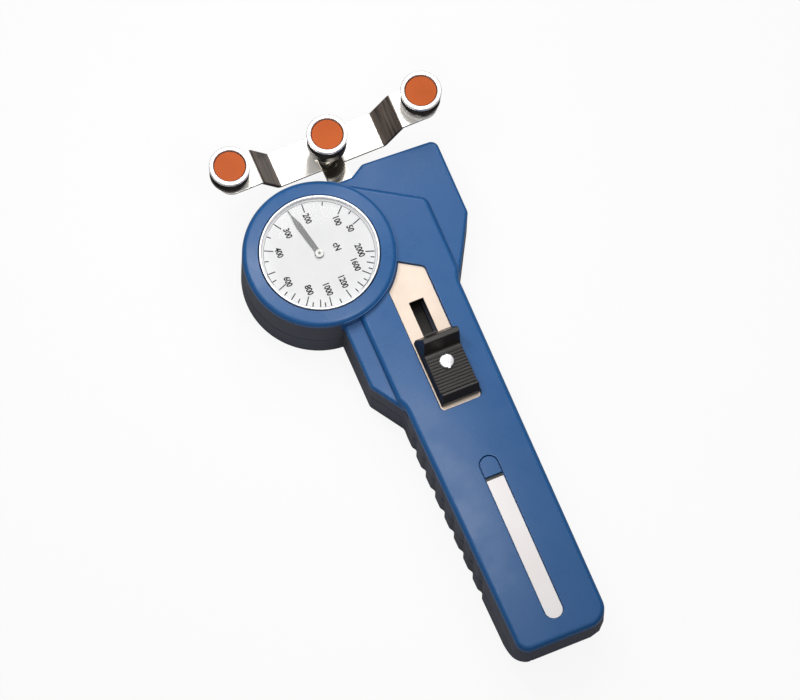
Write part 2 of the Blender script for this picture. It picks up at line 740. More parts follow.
def grip_stations():
    """Give the rear cover's left edge from top to bottom, with its finger dips."""
    top = HANDLE_LEFT_TOP_Y - GRIP_RAMP
    stations = [(grip_left(top), top, 0, WALL_TOP_HANDLE)]
    for dip in range(DIP_COUNT):
        middle = DIP_TOP - dip * DIP_PITCH
        for index in range(-DIP_POINTS, DIP_POINTS + 1):
            share = index / DIP_POINTS
            y = middle - share * DIP_HALF
            sink = DIP_DEPTH * math.cos(math.pi / 2 * share) ** 2
            stations.append((grip_left(y) + sink, y, 0, WALL_TOP_HANDLE))
    return stations


def drum_stations():
    """Give the drum's free arc, from the notch floor round to the left wing."""
    start = drum_bearing_right()
    end = drum_bearing_left()
    ends = [(start, WALL_TOP_WING), (start + DRUM_RAMP, WALL_TOP_WING)]
    ends_left = [(end - DRUM_RAMP, WALL_TOP_WING), (end, WALL_TOP_WING)]
    stations = [(*polar(DRUM_RADIUS, bearing), 0, top) for bearing, top in ends]
    for x, y in arc((0, 0), DRUM_RADIUS, start + 2 * DRUM_RAMP, end - 2 * DRUM_RAMP):
        stations.append((x, y, 0, WALL_TOP_DRUM))
    return stations + [(*polar(DRUM_RADIUS, bearing), 0, top) for bearing, top in ends_left]


def case_outline(grip=(), left_end=HANDLE_LEFT_END):
    """Give the case's outline, anticlockwise, and the top of the housing's wall at each point."""
    left_ramp = HANDLE_LEFT_TOP_Y - SMALL_CORNER
    right_ramp = HANDLE_TOP - SMALL_CORNER
    stations = [
        (WING_RIGHT, WING_TOP_RIGHT_Y, WING_CORNER, WALL_TOP_WING),
        (WING_TOP_LEFT_X, WING_TOP_LEFT_Y, SMALL_CORNER, WALL_TOP_WING),
        (NOTCH_RIGHT, NOTCH_FLOOR, SMALL_CORNER, WALL_TOP_WING),
        *drum_stations(),
        (LEFT_WING_X, LEFT_WING_LOW, SMALL_CORNER, WALL_TOP_WING),
        (HANDLE_LEFT_TOP_X, HANDLE_LEFT_TOP_Y, SMALL_CORNER, WALL_TOP_WING),
        (handle_left(left_ramp), left_ramp, 0, WALL_TOP_WING),
        (handle_left(left_ramp - WALL_RAMP), left_ramp - WALL_RAMP, 0, WALL_TOP_HANDLE),
        *grip,
        (left_end, HANDLE_END, END_LEFT_CORNER, WALL_TOP_HANDLE),
        (HANDLE_RIGHT, HANDLE_END, END_RIGHT_CORNER, WALL_TOP_HANDLE),
        (HANDLE_RIGHT, right_ramp - WALL_RAMP, 0, WALL_TOP_HANDLE),
        (HANDLE_RIGHT, right_ramp, 0, WALL_TOP_WING),
        (HANDLE_RIGHT, HANDLE_TOP, SMALL_CORNER, WALL_TOP_WING),
        (WING_RIGHT, WING_LOW, SMALL_CORNER, WALL_TOP_WING),
    ]
    points = []
    tops = []
    for index, station in enumerate(stations):
        following = stations[(index + 1) % len(stations)]
        added = corner_points(stations[index - 1], station, following, CORNER_STEP)
        points += added
        tops += [station[3]] * len(added)
    return points, tops


def end_lift(points, height):
    """Draw the handle's end in at low levels, so that its underside is a quarter round."""
    if height >= END_ROUND:
        return points
    lift = END_ROUND - math.sqrt(END_ROUND**2 - (END_ROUND - height) ** 2)
    moved = []
    for x, y in points:
        share = min(1, max(0, (HANDLE_END + 2 * END_ROUND - y) / (2 * END_ROUND)))
        moved.append((x, y + lift * share))
    return moved


def screw_places():
    """Give the five places where the cover screws stand."""
    left = handle_left(HANDLE_BOSS_Y) + BOSS_INSET
    return [
        polar(DRUM_BOSS_PLACE, DRUM_BOSS_BEARING),
        (WING_RIGHT - BOSS_INSET, WING_TOP_RIGHT_Y - BOSS_INSET),
        (left, HANDLE_BOSS_Y),
        (HANDLE_RIGHT - BOSS_INSET, HANDLE_BOSS_Y),
        (LEFT_WING_X + BOSS_INSET, LEFT_BOSS_Y),
    ]


def make_rear_cover():
    """Build the rear cover: a tray with finger dips, rails for the slide bar and a pivot boss."""
    outer, _ = case_outline(grip_stations(), GRIP_LEFT_END)
    plain, _ = case_outline()
    steps = [(0, END_ROUND * share) for share in END_LEVEL_SHARES]
    steps = [(REAR_EDGE, 0), (0, REAR_EDGE), *steps, (0, REAR_TOP)]
    shape = loft([level(end_lift(inset(outer, depth), z), z) for depth, z in steps])
    piece = make_piece("rear_cover", shape, "slate plastic", SLATE)
    inner = inset(plain, WALL)
    heights = [REAR_FLOOR, END_ROUND / 2, REAR_TOP + OVERRUN]
    cut(piece, loft([level(end_lift(inner, z), z) for z in heights]))
    bar_under = BAR_LOW - GAP
    sink = REAR_FLOOR - OVERRUN / 4
    rail_left = BAR_LEFT - GAP
    rail_right = BAR_RIGHT + GAP
    anchor_x = BAR_MIDDLE
    bed = block(rail_left - RAIL_WIDTH, rail_right + RAIL_WIDTH, BAR_END, RAIL_HIGH, sink, RAIL_TOP)
    join(piece, bed)
    groove = (rail_left, rail_right, BAR_END - OVERRUN, RAIL_HIGH + OVERRUN)
    cut(piece, block(*groove, bar_under, RAIL_TOP + OVERRUN))
    anchor_low = COIL_LOW - ANCHOR_THICK
    anchor = (anchor_x - ANCHOR_HALF, anchor_x + ANCHOR_HALF, anchor_low, COIL_LOW)
    join(piece, block(*anchor, sink, ANCHOR_TOP))
    join(piece, disc(PIVOT_BOSS, sink, ARM_LOW - GAP, (PIVOT_X, PIVOT_Y)))
    cut(piece, disc(PIVOT_RADIUS + GAP, PIVOT_PIN_LOW - GAP, ARM_LOW + OVERRUN, (PIVOT_X, PIVOT_Y)))
    neck = (NECK_LEFT - GAP, NECK_RIGHT + GAP, NOTCH_FLOOR - 2 * WALL, NOTCH_FLOOR + OVERRUN)
    cut(piece, block(*neck, bar_under, REAR_TOP + OVERRUN))
    for place in screw_places():
        cut(piece, disc(SCREW_HEAD + GAP, -OVERRUN, SCREW_SINK, place))
        cut(piece, disc(SCREW_SHANK + GAP, 0, REAR_FLOOR + OVERRUN, place))
    cut(piece, prism(plate_outline(0), -OVERRUN, PLATE_RECESS))
    return piece


def plate_outline(margin):
    """Give the outline of the rating plate's recess, or of the plate within it."""
    return rounded([
        (PLATE_LEFT + margin, PLATE_LOW + margin, PLATE_CORNER - margin),
        (PLATE_RIGHT - margin, PLATE_LOW + margin, PLATE_CORNER - margin),
        (PLATE_RIGHT - margin, PLATE_TOP - margin, PLATE_CORNER - margin),
        (PLATE_LEFT + margin, PLATE_TOP - margin, PLATE_CORNER - margin),
    ])


def lug_outline(bearing):
    """Give the outline of one lug that carries the movement, from the drum's wall inwards."""
    along = Vector((math.cos(bearing), math.sin(bearing)))
    across = Vector((-along.y, along.x)) * LUG_HALF
    outer = along * (DRUM_RADIUS - WALL / 2)
    inner = along * LUG_INNER
    return [tuple(inner - across), tuple(outer - across), tuple(outer + across), tuple(inner + across)]


def make_housing():
    """Build the housing: the wall between the covers, with screw bosses and three lugs."""
    outline, tops = case_outline()
    inner = inset(outline, WALL)
    low = [HOUSING_LOW] * len(outline)
    loops = [level(outline, low), level(outline, tops), level(inner, tops), level(inner, low)]
    piece = make_piece("housing", loft(loops, closed=True), "slate plastic", SLATE)
    for place in screw_places():
        join(piece, disc(BOSS_RADIUS, HOUSING_LOW, BOSS_TOP, place))
        join(piece, disc(SLIM_BOSS_RADIUS, REAR_FLOOR + GAP, BOSS_TOP - GAP, place))
        cut(piece, disc(SCREW_SHANK + GAP, REAR_FLOOR, BOSS_TOP + OVERRUN, place))
    for bearing in PILLAR_BEARINGS:
        join(piece, prism(lug_outline(bearing), HOUSING_LOW, MOVEMENT_LOW - GAP))
    opening = (ARM_OPENING_LEFT, ARM_OPENING_RIGHT, NOTCH_FLOOR - 2 * WALL, WING_TOP_LEFT_Y)
    cut(piece, block(*opening, HOUSING_LOW - OVERRUN, WING_FRONT + OVERRUN))
    return piece


def plateau_outline():
    """Give the raised part of the front cover: the handle's face up to the drum."""
    return rounded([
        (PLATEAU_RIGHT, PLATEAU_TOP, PLATEAU_CORNER),
        (PLATEAU_SHOULDER_X, PLATEAU_SHOULDER_Y, 0),
        (PLATEAU_LEFT, 0, 0),
        (PLATEAU_LEFT, HANDLE_LEFT_TOP_Y + PLATEAU_CORNER, SMALL_CORNER),
        (HANDLE_LEFT_TOP_X, HANDLE_LEFT_TOP_Y, SMALL_CORNER),
        (HANDLE_LEFT_END, HANDLE_END, END_LEFT_CORNER),
        (HANDLE_RIGHT, HANDLE_END, END_RIGHT_CORNER),
        (HANDLE_RIGHT, HANDLE_TOP, SMALL_CORNER),
        (PLATEAU_RIGHT, HANDLE_TOP + PLATEAU_CORNER, SMALL_CORNER),
    ])


def wing_extension(corner, end):
    """Give the point past a wing's low corner, on the line of its slanted edge."""
    along = (Vector(end) - Vector(corner)).normalized()
    return tuple(Vector(end) + along * WING_OVERLAP)


def edge_steps(high, edge):
    """Give the (depth, height) steps of an edge rounded over below one level."""
    return [(edge * depth, high - edge * drop) for depth, drop in EDGE_ROUND_SHARES]


def rounded_slab(outline, low, high, edge):
    """Make a plate whose upper edge is rounded."""
    steps = [(0, low)] + edge_steps(high, edge)
    return loft([level(inset(outline, depth), z) for depth, z in steps])


def make_front_cover():
    """Build the blue front cover: handle face, two wings, drum and bezel."""
    rim_low = HANDLE_FRONT - HANDLE_RIM
    lip = WALL + GAP
    outline = plateau_outline()
    profile = [(lip, LIP_LOW), (lip, rim_low), (0, rim_low)]
    profile += edge_steps(HANDLE_FRONT, EDGE_HANDLE)
    shape = loft([level(inset(outline, depth), z) for depth, z in profile])
    piece = make_piece("front_cover", shape, "blue plastic", BLUE)
    wing_low = WING_FRONT - WING_SKIN
    notch_left = polar(DRUM_RADIUS, drum_bearing_right())
    right_wing = rounded([
        (WING_RIGHT, WING_TOP_RIGHT_Y, WING_CORNER),
        (WING_TOP_LEFT_X, WING_TOP_LEFT_Y, SMALL_CORNER),
        (NOTCH_RIGHT, NOTCH_FLOOR, SMALL_CORNER),
        (*notch_left, 0),
        (notch_left[0], 0, 0),
        (*wing_extension((WING_RIGHT, WING_LOW), (HANDLE_RIGHT, HANDLE_TOP)), 0),
        (WING_RIGHT, WING_LOW, SMALL_CORNER),
    ])
    join(piece, rounded_slab(right_wing, wing_low, WING_FRONT, EDGE_WING))
    left_wing = rounded([
        (LEFT_WING_X, LEFT_WING_LOW, SMALL_CORNER),
        (*wing_extension((LEFT_WING_X, LEFT_WING_LOW), (HANDLE_LEFT_TOP_X, HANDLE_LEFT_TOP_Y)), 0),
        (PLATEAU_LEFT + 2 * WING_OVERLAP, HANDLE_LEFT_TOP_Y, 0),
        (PLATEAU_LEFT + 2 * WING_OVERLAP, 0, 0),
        (LEFT_WING_X, DRUM_RADIUS * math.sin(drum_bearing_left()) + WING_OVERLAP, 0),
    ])
    join(piece, rounded_slab(left_wing, wing_low, WING_FRONT, EDGE_WING))
    drum = [(DRUM_RADIUS, DRUM_FRONT - DRUM_RIM)]
    drum += [(DRUM_RADIUS - depth, z) for depth, z in edge_steps(DRUM_FRONT, EDGE_DRUM)]
    join(piece, turned(drum, DRUM_SIDES))
    collar = arc((0, 0), DRUM_RADIUS, drum_bearing_left() - math.tau, drum_bearing_right())
    join(piece, prism(collar, wing_low, DRUM_FRONT - DRUM_RIM / 2))
    cavity = [
        (CAVITY_RADIUS, LIP_LOW - OVERRUN),
        (CAVITY_RADIUS, DRUM_FRONT - BEZEL_SKIN),
        (BEZEL_BORE, DRUM_FRONT - BEZEL_SKIN),
        (BEZEL_BORE, DRUM_FRONT + OVERRUN),
    ]
    cut(piece, turned(cavity, DRUM_SIDES))
    cut(piece, prism(recess_outline(0), RECESS_FLOOR, HANDLE_FRONT + OVERRUN))
    across = (SLOT_LEFT - SLOT_MARGIN, SLOT_RIGHT + SLOT_MARGIN)
    along = (SLOT_LOW - SLOT_MARGIN, SLOT_TOP + SLOT_MARGIN)
    cut(piece, block(*across, *along, LIP_LOW - OVERRUN, HANDLE_FRONT))
    cut(piece, prism(label_outline(0, LABEL_LOW), LABEL_FLOOR, HANDLE_FRONT + OVERRUN))
    left = handle_left(HOLLOW_TOP) + HOLLOW_INSET
    hollow = [
        (handle_left(HANDLE_END) + HOLLOW_INSET, HANDLE_END + HOLLOW_INSET),
        (HANDLE_RIGHT - HOLLOW_INSET, HANDLE_END + HOLLOW_INSET),
        (HANDLE_RIGHT - HOLLOW_INSET, HOLLOW_TOP),
        (left, HOLLOW_TOP),
    ]
    cut(piece, prism(hollow, LIP_LOW - OVERRUN, HANDLE_ROOF))
    for place in screw_places():
        if math.hypot(*place) < DRUM_RADIUS:
            top = DRUM_FRONT - BEZEL_SKIN / 2
        elif place[1] < HOLLOW_TOP:
            top = HANDLE_ROOF + BEZEL_SKIN / 2
        else:
            top = WING_FRONT - WING_SKIN / 2
        join(piece, disc(SLIM_BOSS_RADIUS, BOSS_TOP + GAP, top, place))
        cut(piece, disc(SCREW_SHANK + GAP, BOSS_TOP, SCREW_END + GAP, place))
    return piece


def recess_outline(margin):
    """Give the outline of the recess round the slot, or of the plate within it."""
    left_bearing = -math.acos(RECESS_LEFT / (DRUM_RADIUS + GAP))
    drum_side = arc((0, 0), DRUM_RADIUS + GAP, RECESS_APEX_BEARING, left_bearing)
    corners = [
        (RECESS_LEFT, RECESS_LOW, RECESS_CORNER),
        (RECESS_RIGHT, RECESS_LOW, RECESS_CORNER),
        (RECESS_RIGHT, RECESS_TOP_RIGHT, SMALL_CORNER),
        *[(x, y, 0) for x, y in drum_side],
    ]
    return inset(rounded(corners), margin)


def label_outline(margin, low, high=LABEL_TOP):
    """Give the long round-ended recess for the label, or a piece that lies within it."""
    half = LABEL_HALF - margin
    ends = arc((LABEL_X, LABEL_TOP - LABEL_HALF), half, 0, math.pi, CORNER_STEP)
    if high < LABEL_TOP:
        ends = [(LABEL_X + half, high), (LABEL_X - half, high)]
    if low > LABEL_LOW:
        return ends + [(LABEL_X - half, low), (LABEL_X + half, low)]
    return ends + arc((LABEL_X, LABEL_LOW + LABEL_HALF), half, math.pi, math.tau, CORNER_STEP)


def make_cover_screws():
    """Build the five slotted screws that hold the covers and the housing together."""
    for number, place in enumerate(screw_places(), 1):
        head_low = SCREW_SINK - GAP - SCREW_HEAD_THICK
        profile = [
            (SCREW_HEAD, head_low),
            (SCREW_HEAD, SCREW_SINK - GAP),
            (SCREW_SHANK, SCREW_SINK - GAP),
            (SCREW_SHANK, SCREW_END),
        ]
        body = turned(profile, SCREW_SIDES)
        piece = make_piece(f"cover_screw_{number}", body, "steel", STEEL, (*place, 0))
        half = SCREW_SLOT_WIDTH / 2
        cut(piece, block(-SCREW_HEAD - GAP, SCREW_HEAD + GAP, -half, half, 0, head_low + SCREW_SLOT_DEPTH))


def make_dial():
    """Build the lens, its ring, the dial face and the plates that close the recesses."""
    lens_radius = LENS_RING_OUTER - LENS_RING_WALL - GAP
    lens = disc(lens_radius, LENS_FRONT - LENS_THICK, LENS_FRONT, sides=DRUM_SIDES)
    make_piece("lens", lens, "clear lens", CLEAR)
    ring = [
        (LENS_RING_OUTER, DIAL_FRONT + GAP),
        (LENS_RING_OUTER, LENS_RING_FRONT),
        (LENS_RING_OUTER - LENS_RING_WALL, LENS_RING_FRONT),
        (LENS_RING_OUTER - LENS_RING_WALL, DIAL_FRONT + GAP),
    ]
    smooth(make_piece("lens_ring", turned(ring, DRUM_SIDES, closed=True), "silver", SILVER))
    face = disc(DIAL_RADIUS, DIAL_LOW, DIAL_FRONT, sides=DRUM_SIDES, bore=ARBOR_RADIUS + GAP)
    dial = make_piece("dial_face", face, "dial white", DIAL_WHITE)
    front_plate_top = MOVEMENT_FRONT + MOVEMENT_PLATE
    for bearing in (math.pi / 2, -math.pi / 2):
        foot = polar(DIAL_FOOT_PLACE, bearing)
        join(dial, disc(DIAL_FOOT_RADIUS, front_plate_top + GAP, DIAL_LOW + DIAL_THICK / 2, foot))
    plate = prism(recess_outline(GAP), SLOT_PLATE_LOW, SLOT_PLATE_LOW + SLOT_PLATE_THICK)
    slot_plate = make_piece("slot_plate", plate, "silver", SILVER)
    slot = block(SLOT_LEFT, SLOT_RIGHT, SLOT_LOW, SLOT_TOP, RECESS_FLOOR, HANDLE_FRONT)
    cut(slot_plate, slot)
    card_low = LABEL_FLOOR + GAP
    card = label_outline(GAP, LABEL_LOW, LABEL_CARD_TOP)
    strip = prism(card, card_low, card_low + LABEL_CARD_THICK)
    make_piece("label_strip", strip, "card white", CARD_WHITE)
    pad = prism(label_outline(GAP, LABEL_PAD_LOW), card_low, LABEL_PAD_FRONT)
    make_piece("label_retainer", pad, "blue plastic", BLUE)
    back = prism(plate_outline(GAP), PLATE_RECESS - GAP - PLATE_THICK, PLATE_RECESS - GAP)
    make_piece("rating_plate", back, "silver", SILVER)


def make_pointer():
    """Build the pointer, its hub and the arbor with the centre pinion."""
    along = POINTER_RING * POINTER_ROOT_SHARE
    blade = [
        (along, -POINTER_ROOT_WIDTH / 2),
        (POINTER_WAIST, -POINTER_WAIST_WIDTH / 2),
        (POINTER_LENGTH, -POINTER_TIP_WIDTH / 2),
        (POINTER_LENGTH, POINTER_TIP_WIDTH / 2),
        (POINTER_WAIST, POINTER_WAIST_WIDTH / 2),
        (along, POINTER_ROOT_WIDTH / 2),
    ]
    low = DIAL_FRONT + GAP
    high = low + POINTER_THICK
    ring = disc(POINTER_RING, low, high, bore=ARBOR_RADIUS + GAP)
    pointer = make_piece("pointer", ring, "needle grey", NEEDLE_GREY, bearing=POINTER_BEARING)
    join(pointer, prism(blade, low, high))
    hub = [
        (HUB_RADIUS, high + GAP),
        (HUB_RADIUS, high + GAP + HUB_THICK * HUB_SIDE_SHARE),
        (HUB_RADIUS * HUB_TOP_SHARE, high + GAP + HUB_THICK),
    ]
    smooth(make_piece("pointer_hub", turned(hub), "hub white", HUB_WHITE))
    pinion_low = GEAR_LOW - PINION_OVERLAP
    arbor = make_piece("pointer_arbor", disc(ARBOR_RADIUS, MOVEMENT_LOW + GAP, high), "brass", BRASS)
    pinion_high = pinion_low + GEAR_THICK + 2 * PINION_OVERLAP
    join(arbor, prism(gear_outline(PINION_TEETH, tooth_at=ARBOR_BEARING), pinion_low, pinion_high))


def make_gears():
    """Build the intermediate arbor and its gear, in mesh with the sector and the centre pinion."""
    toward_arm = SECTOR_BEARING + math.pi
    low = ARM_LOW - PINION_OVERLAP
    high = ARM_LOW + ARM_THICK + PINION_OVERLAP
    shaft = disc(ARBOR_RADIUS, MOVEMENT_LOW + GAP, MOVEMENT_FRONT + MOVEMENT_PLATE - GAP)
    place = (ARBOR_X, ARBOR_Y, 0)
    arbor = make_piece("intermediate_arbor", shaft, "brass", BRASS, place)
    join(arbor, prism(gear_outline(PINION_TEETH, tooth_at=toward_arm), low, high))
    gap_at = ARBOR_BEARING + math.pi
    teeth = gear_outline(GEAR_TEETH, tooth_at=gap_at + math.pi / GEAR_TEETH)
    wheel = prism(teeth, GEAR_LOW, GEAR_LOW + GEAR_THICK, [circle(ARBOR_RADIUS + GAP)])
    make_piece("intermediate_gear", wheel, "brass", BRASS, place)


def make_movement_frame():
    """Build the two plates, three pillars and three screws that carry the gear train."""
    arbors = [(0, 0), (ARBOR_X, ARBOR_Y)]
    bores = [circle(ARBOR_RADIUS + GAP, centre=place) for place in arbors]
    rim = circle(MOVEMENT_RADIUS, MOVEMENT_SIDES)
    back = prism(rim, MOVEMENT_LOW, MOVEMENT_LOW + MOVEMENT_PLATE, bores)
    make_piece("movement_back_plate", back, "brass", BRASS)
    pillars = [polar(PILLAR_PLACE, bearing) for bearing in PILLAR_BEARINGS]
    bores += [circle(PILLAR_SCREW + GAP, centre=place) for place in pillars]
    top = MOVEMENT_FRONT + MOVEMENT_PLATE
    front = make_piece("movement_front_plate", prism(rim, MOVEMENT_FRONT, top, bores), "brass", BRASS)
    stud = polar(HAIR_OUTER + STUD_RADIUS + GAP + HAIR_WIDTH / 2, 0)
    join(front, disc(STUD_RADIUS, HAIR_LOW, MOVEMENT_FRONT + MOVEMENT_PLATE / 2, stud, SCREW_SIDES))
    for number, (x, y) in enumerate(pillars, 1):
        column = disc(PILLAR_RADIUS, MOVEMENT_LOW + MOVEMENT_PLATE + GAP, MOVEMENT_FRONT - GAP)
        pillar = make_piece(f"movement_pillar_{number}", column, "brass", BRASS, (x, y, 0))
        depth = MOVEMENT_FRONT - GAP - PILLAR_BORE_DEPTH
        cut(pillar, disc(PILLAR_SCREW + GAP, depth, MOVEMENT_FRONT + OVERRUN, sides=SCREW_SIDES))
        profile = [
            (PILLAR_SCREW, depth + GAP),
            (PILLAR_SCREW, top + GAP),
            (PILLAR_SCREW_HEAD, top + GAP),
            (PILLAR_SCREW_HEAD, top + GAP + PILLAR_SCREW_THICK),
        ]
        make_piece(f"movement_screw_{number}", turned(profile, SCREW_SIDES), "steel", STEEL, (x, y, 0))


def make_hairspring():
    """Build the flat spiral spring that takes the play out of the gear train."""
    inner = []
    outer = []
    count = HAIR_TURNS * HAIR_POINTS
    for index in range(count + 1):
        share = index / count
        angle = math.tau * HAIR_TURNS * share
        reach = HAIR_INNER + (HAIR_OUTER - HAIR_INNER) * share
        inner.append(polar(reach - HAIR_WIDTH / 2, angle))
        outer.append(polar(reach + HAIR_WIDTH / 2, angle))
    strip = []
    for near, far in zip(inner, outer):
        high = HAIR_LOW + HAIR_HEIGHT
        strip.append([(*near, HAIR_LOW), (*far, HAIR_LOW), (*far, high), (*near, high)])
    make_piece("hairspring", loft(strip), "steel", STEEL)
    least = (HAIR_OUTER - HAIR_INNER) / HAIR_TURNS - HAIR_WIDTH
    print(f"hairspring: least gap between turns {least:.5f} m")


def leaf_line(x):
    """Give the middle of the leaf spring at one place along it."""
    return LEAF_ROOT_Y + (LEAF_TIP_Y - LEAF_ROOT_Y) * (LEAF_ROOT_X - x) / (LEAF_ROOT_X - LEAF_TIP_X)


def make_arm():
    """Build the measuring arm with its toothed sector, its pivot and its leaf spring."""
    pitch = math.tau / SECTOR_TEETH
    pivot = (PIVOT_X, PIVOT_Y)
    teeth = []
    for index in range(SECTOR_CUT_TEETH):
        turn = (index - (SECTOR_CUT_TEETH - 1) / 2) * pitch
        teeth += tooth(SECTOR_TEETH, pivot, SECTOR_BEARING + turn)
    hub = arc(pivot, PIVOT_HUB, -math.pi / 2, math.pi / 2)
    end = arc((MEASURING_X, MEASURING_Y), ARM_END_RADIUS, ARM_END_START, math.pi - ARM_END_START)
    peg_y = leaf_line(PEG_X) + LEAF_THICK / 2 + GAP + PEG_RADIUS
    outline = [
        (ARM_NECK_LEFT, ARM_NECK_LOW),
        *teeth,
        (PEG_X, peg_y - PEG_RADIUS - GAP),
        *hub,
        (ARM_NECK_RIGHT, ARM_NECK_LOW),
        *end,
    ]
    high = ARM_LOW + ARM_THICK
    bores = [
        circle(PIVOT_RADIUS + GAP, centre=pivot),
        circle(AXLE_RADIUS + GAP, centre=(MEASURING_X, MEASURING_Y)),
        circle(ARM_WINDOW_RADIUS, centre=(ARM_WINDOW_X, ARM_WINDOW_Y)),
    ]
    arm = make_piece("measuring_arm", prism(outline, ARM_LOW, high, bores), "steel", STEEL)
    middle = ARM_LOW + ARM_THICK / 2
    flange_right = ARM_NECK_LEFT + FLANGE_WALL
    join(arm, block(ARM_NECK_LEFT, flange_right, FLANGE_LOW, FLANGE_TOP, FLANGE_BOTTOM, middle))
    join(arm, disc(PEG_RADIUS, PEG_LOW, middle, (PEG_X, peg_y)))
    pin = disc(PIVOT_RADIUS, PIVOT_PIN_LOW, WING_FRONT - WING_SKIN - GAP, pivot)
    make_piece("arm_pivot", pin, "steel", STEEL)
    along = (Vector((LEAF_TIP_X, LEAF_TIP_Y)) - Vector((LEAF_ROOT_X, LEAF_ROOT_Y))).normalized()
    across = Vector((-along.y, along.x)) * (LEAF_THICK / 2)
    root = Vector((LEAF_ROOT_X, LEAF_ROOT_Y))
    tip = Vector((LEAF_TIP_X, LEAF_TIP_Y))
    leaf = [tuple(root - across), tuple(root + across), tuple(tip + across), tuple(tip - across)]
    make_piece("measuring_spring", prism(leaf, LEAF_LOW, LEAF_HIGH), "steel", STEEL)
    left = LEAF_ROOT_X + GAP
    sides = (left, left + 2 * BLOCK_HALF, LEAF_ROOT_Y - BLOCK_HALF, LEAF_ROOT_Y + BLOCK_HALF)
    make_piece("spring_block", block(*sides, REAR_FLOOR + GAP, LEAF_HIGH + GAP), "brass", BRASS)


def make_roller(name, place, back):
    """Build one grooved roller with its bearing, bright rim and cap, in front of one level."""
    front = ROLLER_FRONT - ROLLER_RIM_DEPTH - GAP
    half = GROOVE_FLOOR / 2
    profile = [
        (ROLLER_BORE, back),
        (ROLLER_RADIUS, back),
        (ROLLER_RADIUS, GROOVE_LEVEL - GROOVE_HALF),
        (ROLLER_GROOVE, GROOVE_LEVEL - half),
        (ROLLER_GROOVE, GROOVE_LEVEL + half),
        (ROLLER_RADIUS, GROOVE_LEVEL + GROOVE_HALF),
        (ROLLER_RADIUS, front),
        (ROLLER_BORE, front),
    ]
    body = turned(profile, ROLLER_SIDES, closed=True)
    smooth(make_piece(f"{name}_roller", body, "dark steel", DARK_STEEL, (*place, 0)))
    bearing = disc(ROLLER_BORE - GAP, BEARING_BACK, BEARING_BACK + BEARING_DEPTH, bore=AXLE_RADIUS + GAP)
    make_piece(f"{name}_bearing", bearing, "steel", STEEL, (*place, 0))
    edge = ROLLER_RIM_EDGE
    rim = [
        (ROLLER_RIM_BORE, front + GAP),
        (ROLLER_RIM_RADIUS, front + GAP),
        (ROLLER_RIM_RADIUS, ROLLER_FRONT - edge),
        (ROLLER_RIM_RADIUS - edge, ROLLER_FRONT),
        (ROLLER_RIM_BORE + edge, ROLLER_FRONT),
        (ROLLER_RIM_BORE, ROLLER_FRONT - edge),
    ]
    smooth(make_piece(f"{name}_rim", turned(rim, ROLLER_SIDES, closed=True), "steel", STEEL, (*place, 0)))
    cap_front = ROLLER_FRONT - ROLLER_CAP_SINK
    cap = disc(ROLLER_RIM_BORE - GAP, cap_front - ROLLER_CAP_THICK, cap_front, sides=ROLLER_SIDES)
    make_piece(f"{name}_cap", cap, "orange plastic", ORANGE, (*place, 0))


def make_rollers():
    """Build the three rollers on their axles."""
    axle_top = BEARING_BACK + BEARING_DEPTH
    arm_top = ARM_LOW + ARM_THICK
    place = (MEASURING_X, MEASURING_Y)
    make_roller("measuring", place, MEASURING_BACK)
    profile = [
        (AXLE_RADIUS, ARM_LOW + GAP / 2),
        (AXLE_RADIUS, arm_top + GAP),
        (MEASURING_HUB, arm_top + GAP),
        (MEASURING_HUB, MEASURING_BACK - GAP),
        (SPACER_RADIUS, MEASURING_BACK - GAP),
        (SPACER_RADIUS, BEARING_BACK - GAP),
        (AXLE_RADIUS, BEARING_BACK - GAP),
        (AXLE_RADIUS, axle_top),
    ]
    smooth(make_piece("measuring_axle", turned(profile), "steel", STEEL, (*place, 0)))
    for side, name in ((-1, "guide_left"), (1, "guide_right")):
        place = (BRACKET_X + side * GUIDE_SPREAD, GUIDE_Y)
        make_roller(name, place, BRACKET_END + 2 * GAP + SPACER_STEP)
        under = BRACKET_END - BRACKET_THICK - GAP
        profile = [
            (AXLE_RADIUS, under - NUT_THICK - GAP),
            (AXLE_RADIUS, BRACKET_END + GAP),
            (SPACER_RADIUS, BRACKET_END + GAP),
            (SPACER_RADIUS, BEARING_BACK - GAP),
            (AXLE_RADIUS, BEARING_BACK - GAP),
            (AXLE_RADIUS, axle_top),
        ]
        smooth(make_piece(f"{name}_axle", turned(profile), "steel", STEEL, (*place, 0)))
        nut = prism(circle(NUT_RADIUS, NUT_SIDES), under - NUT_THICK, under, [circle(AXLE_RADIUS + GAP)])
        make_piece(f"{name}_nut", nut, "steel", STEEL, (*place, 0))


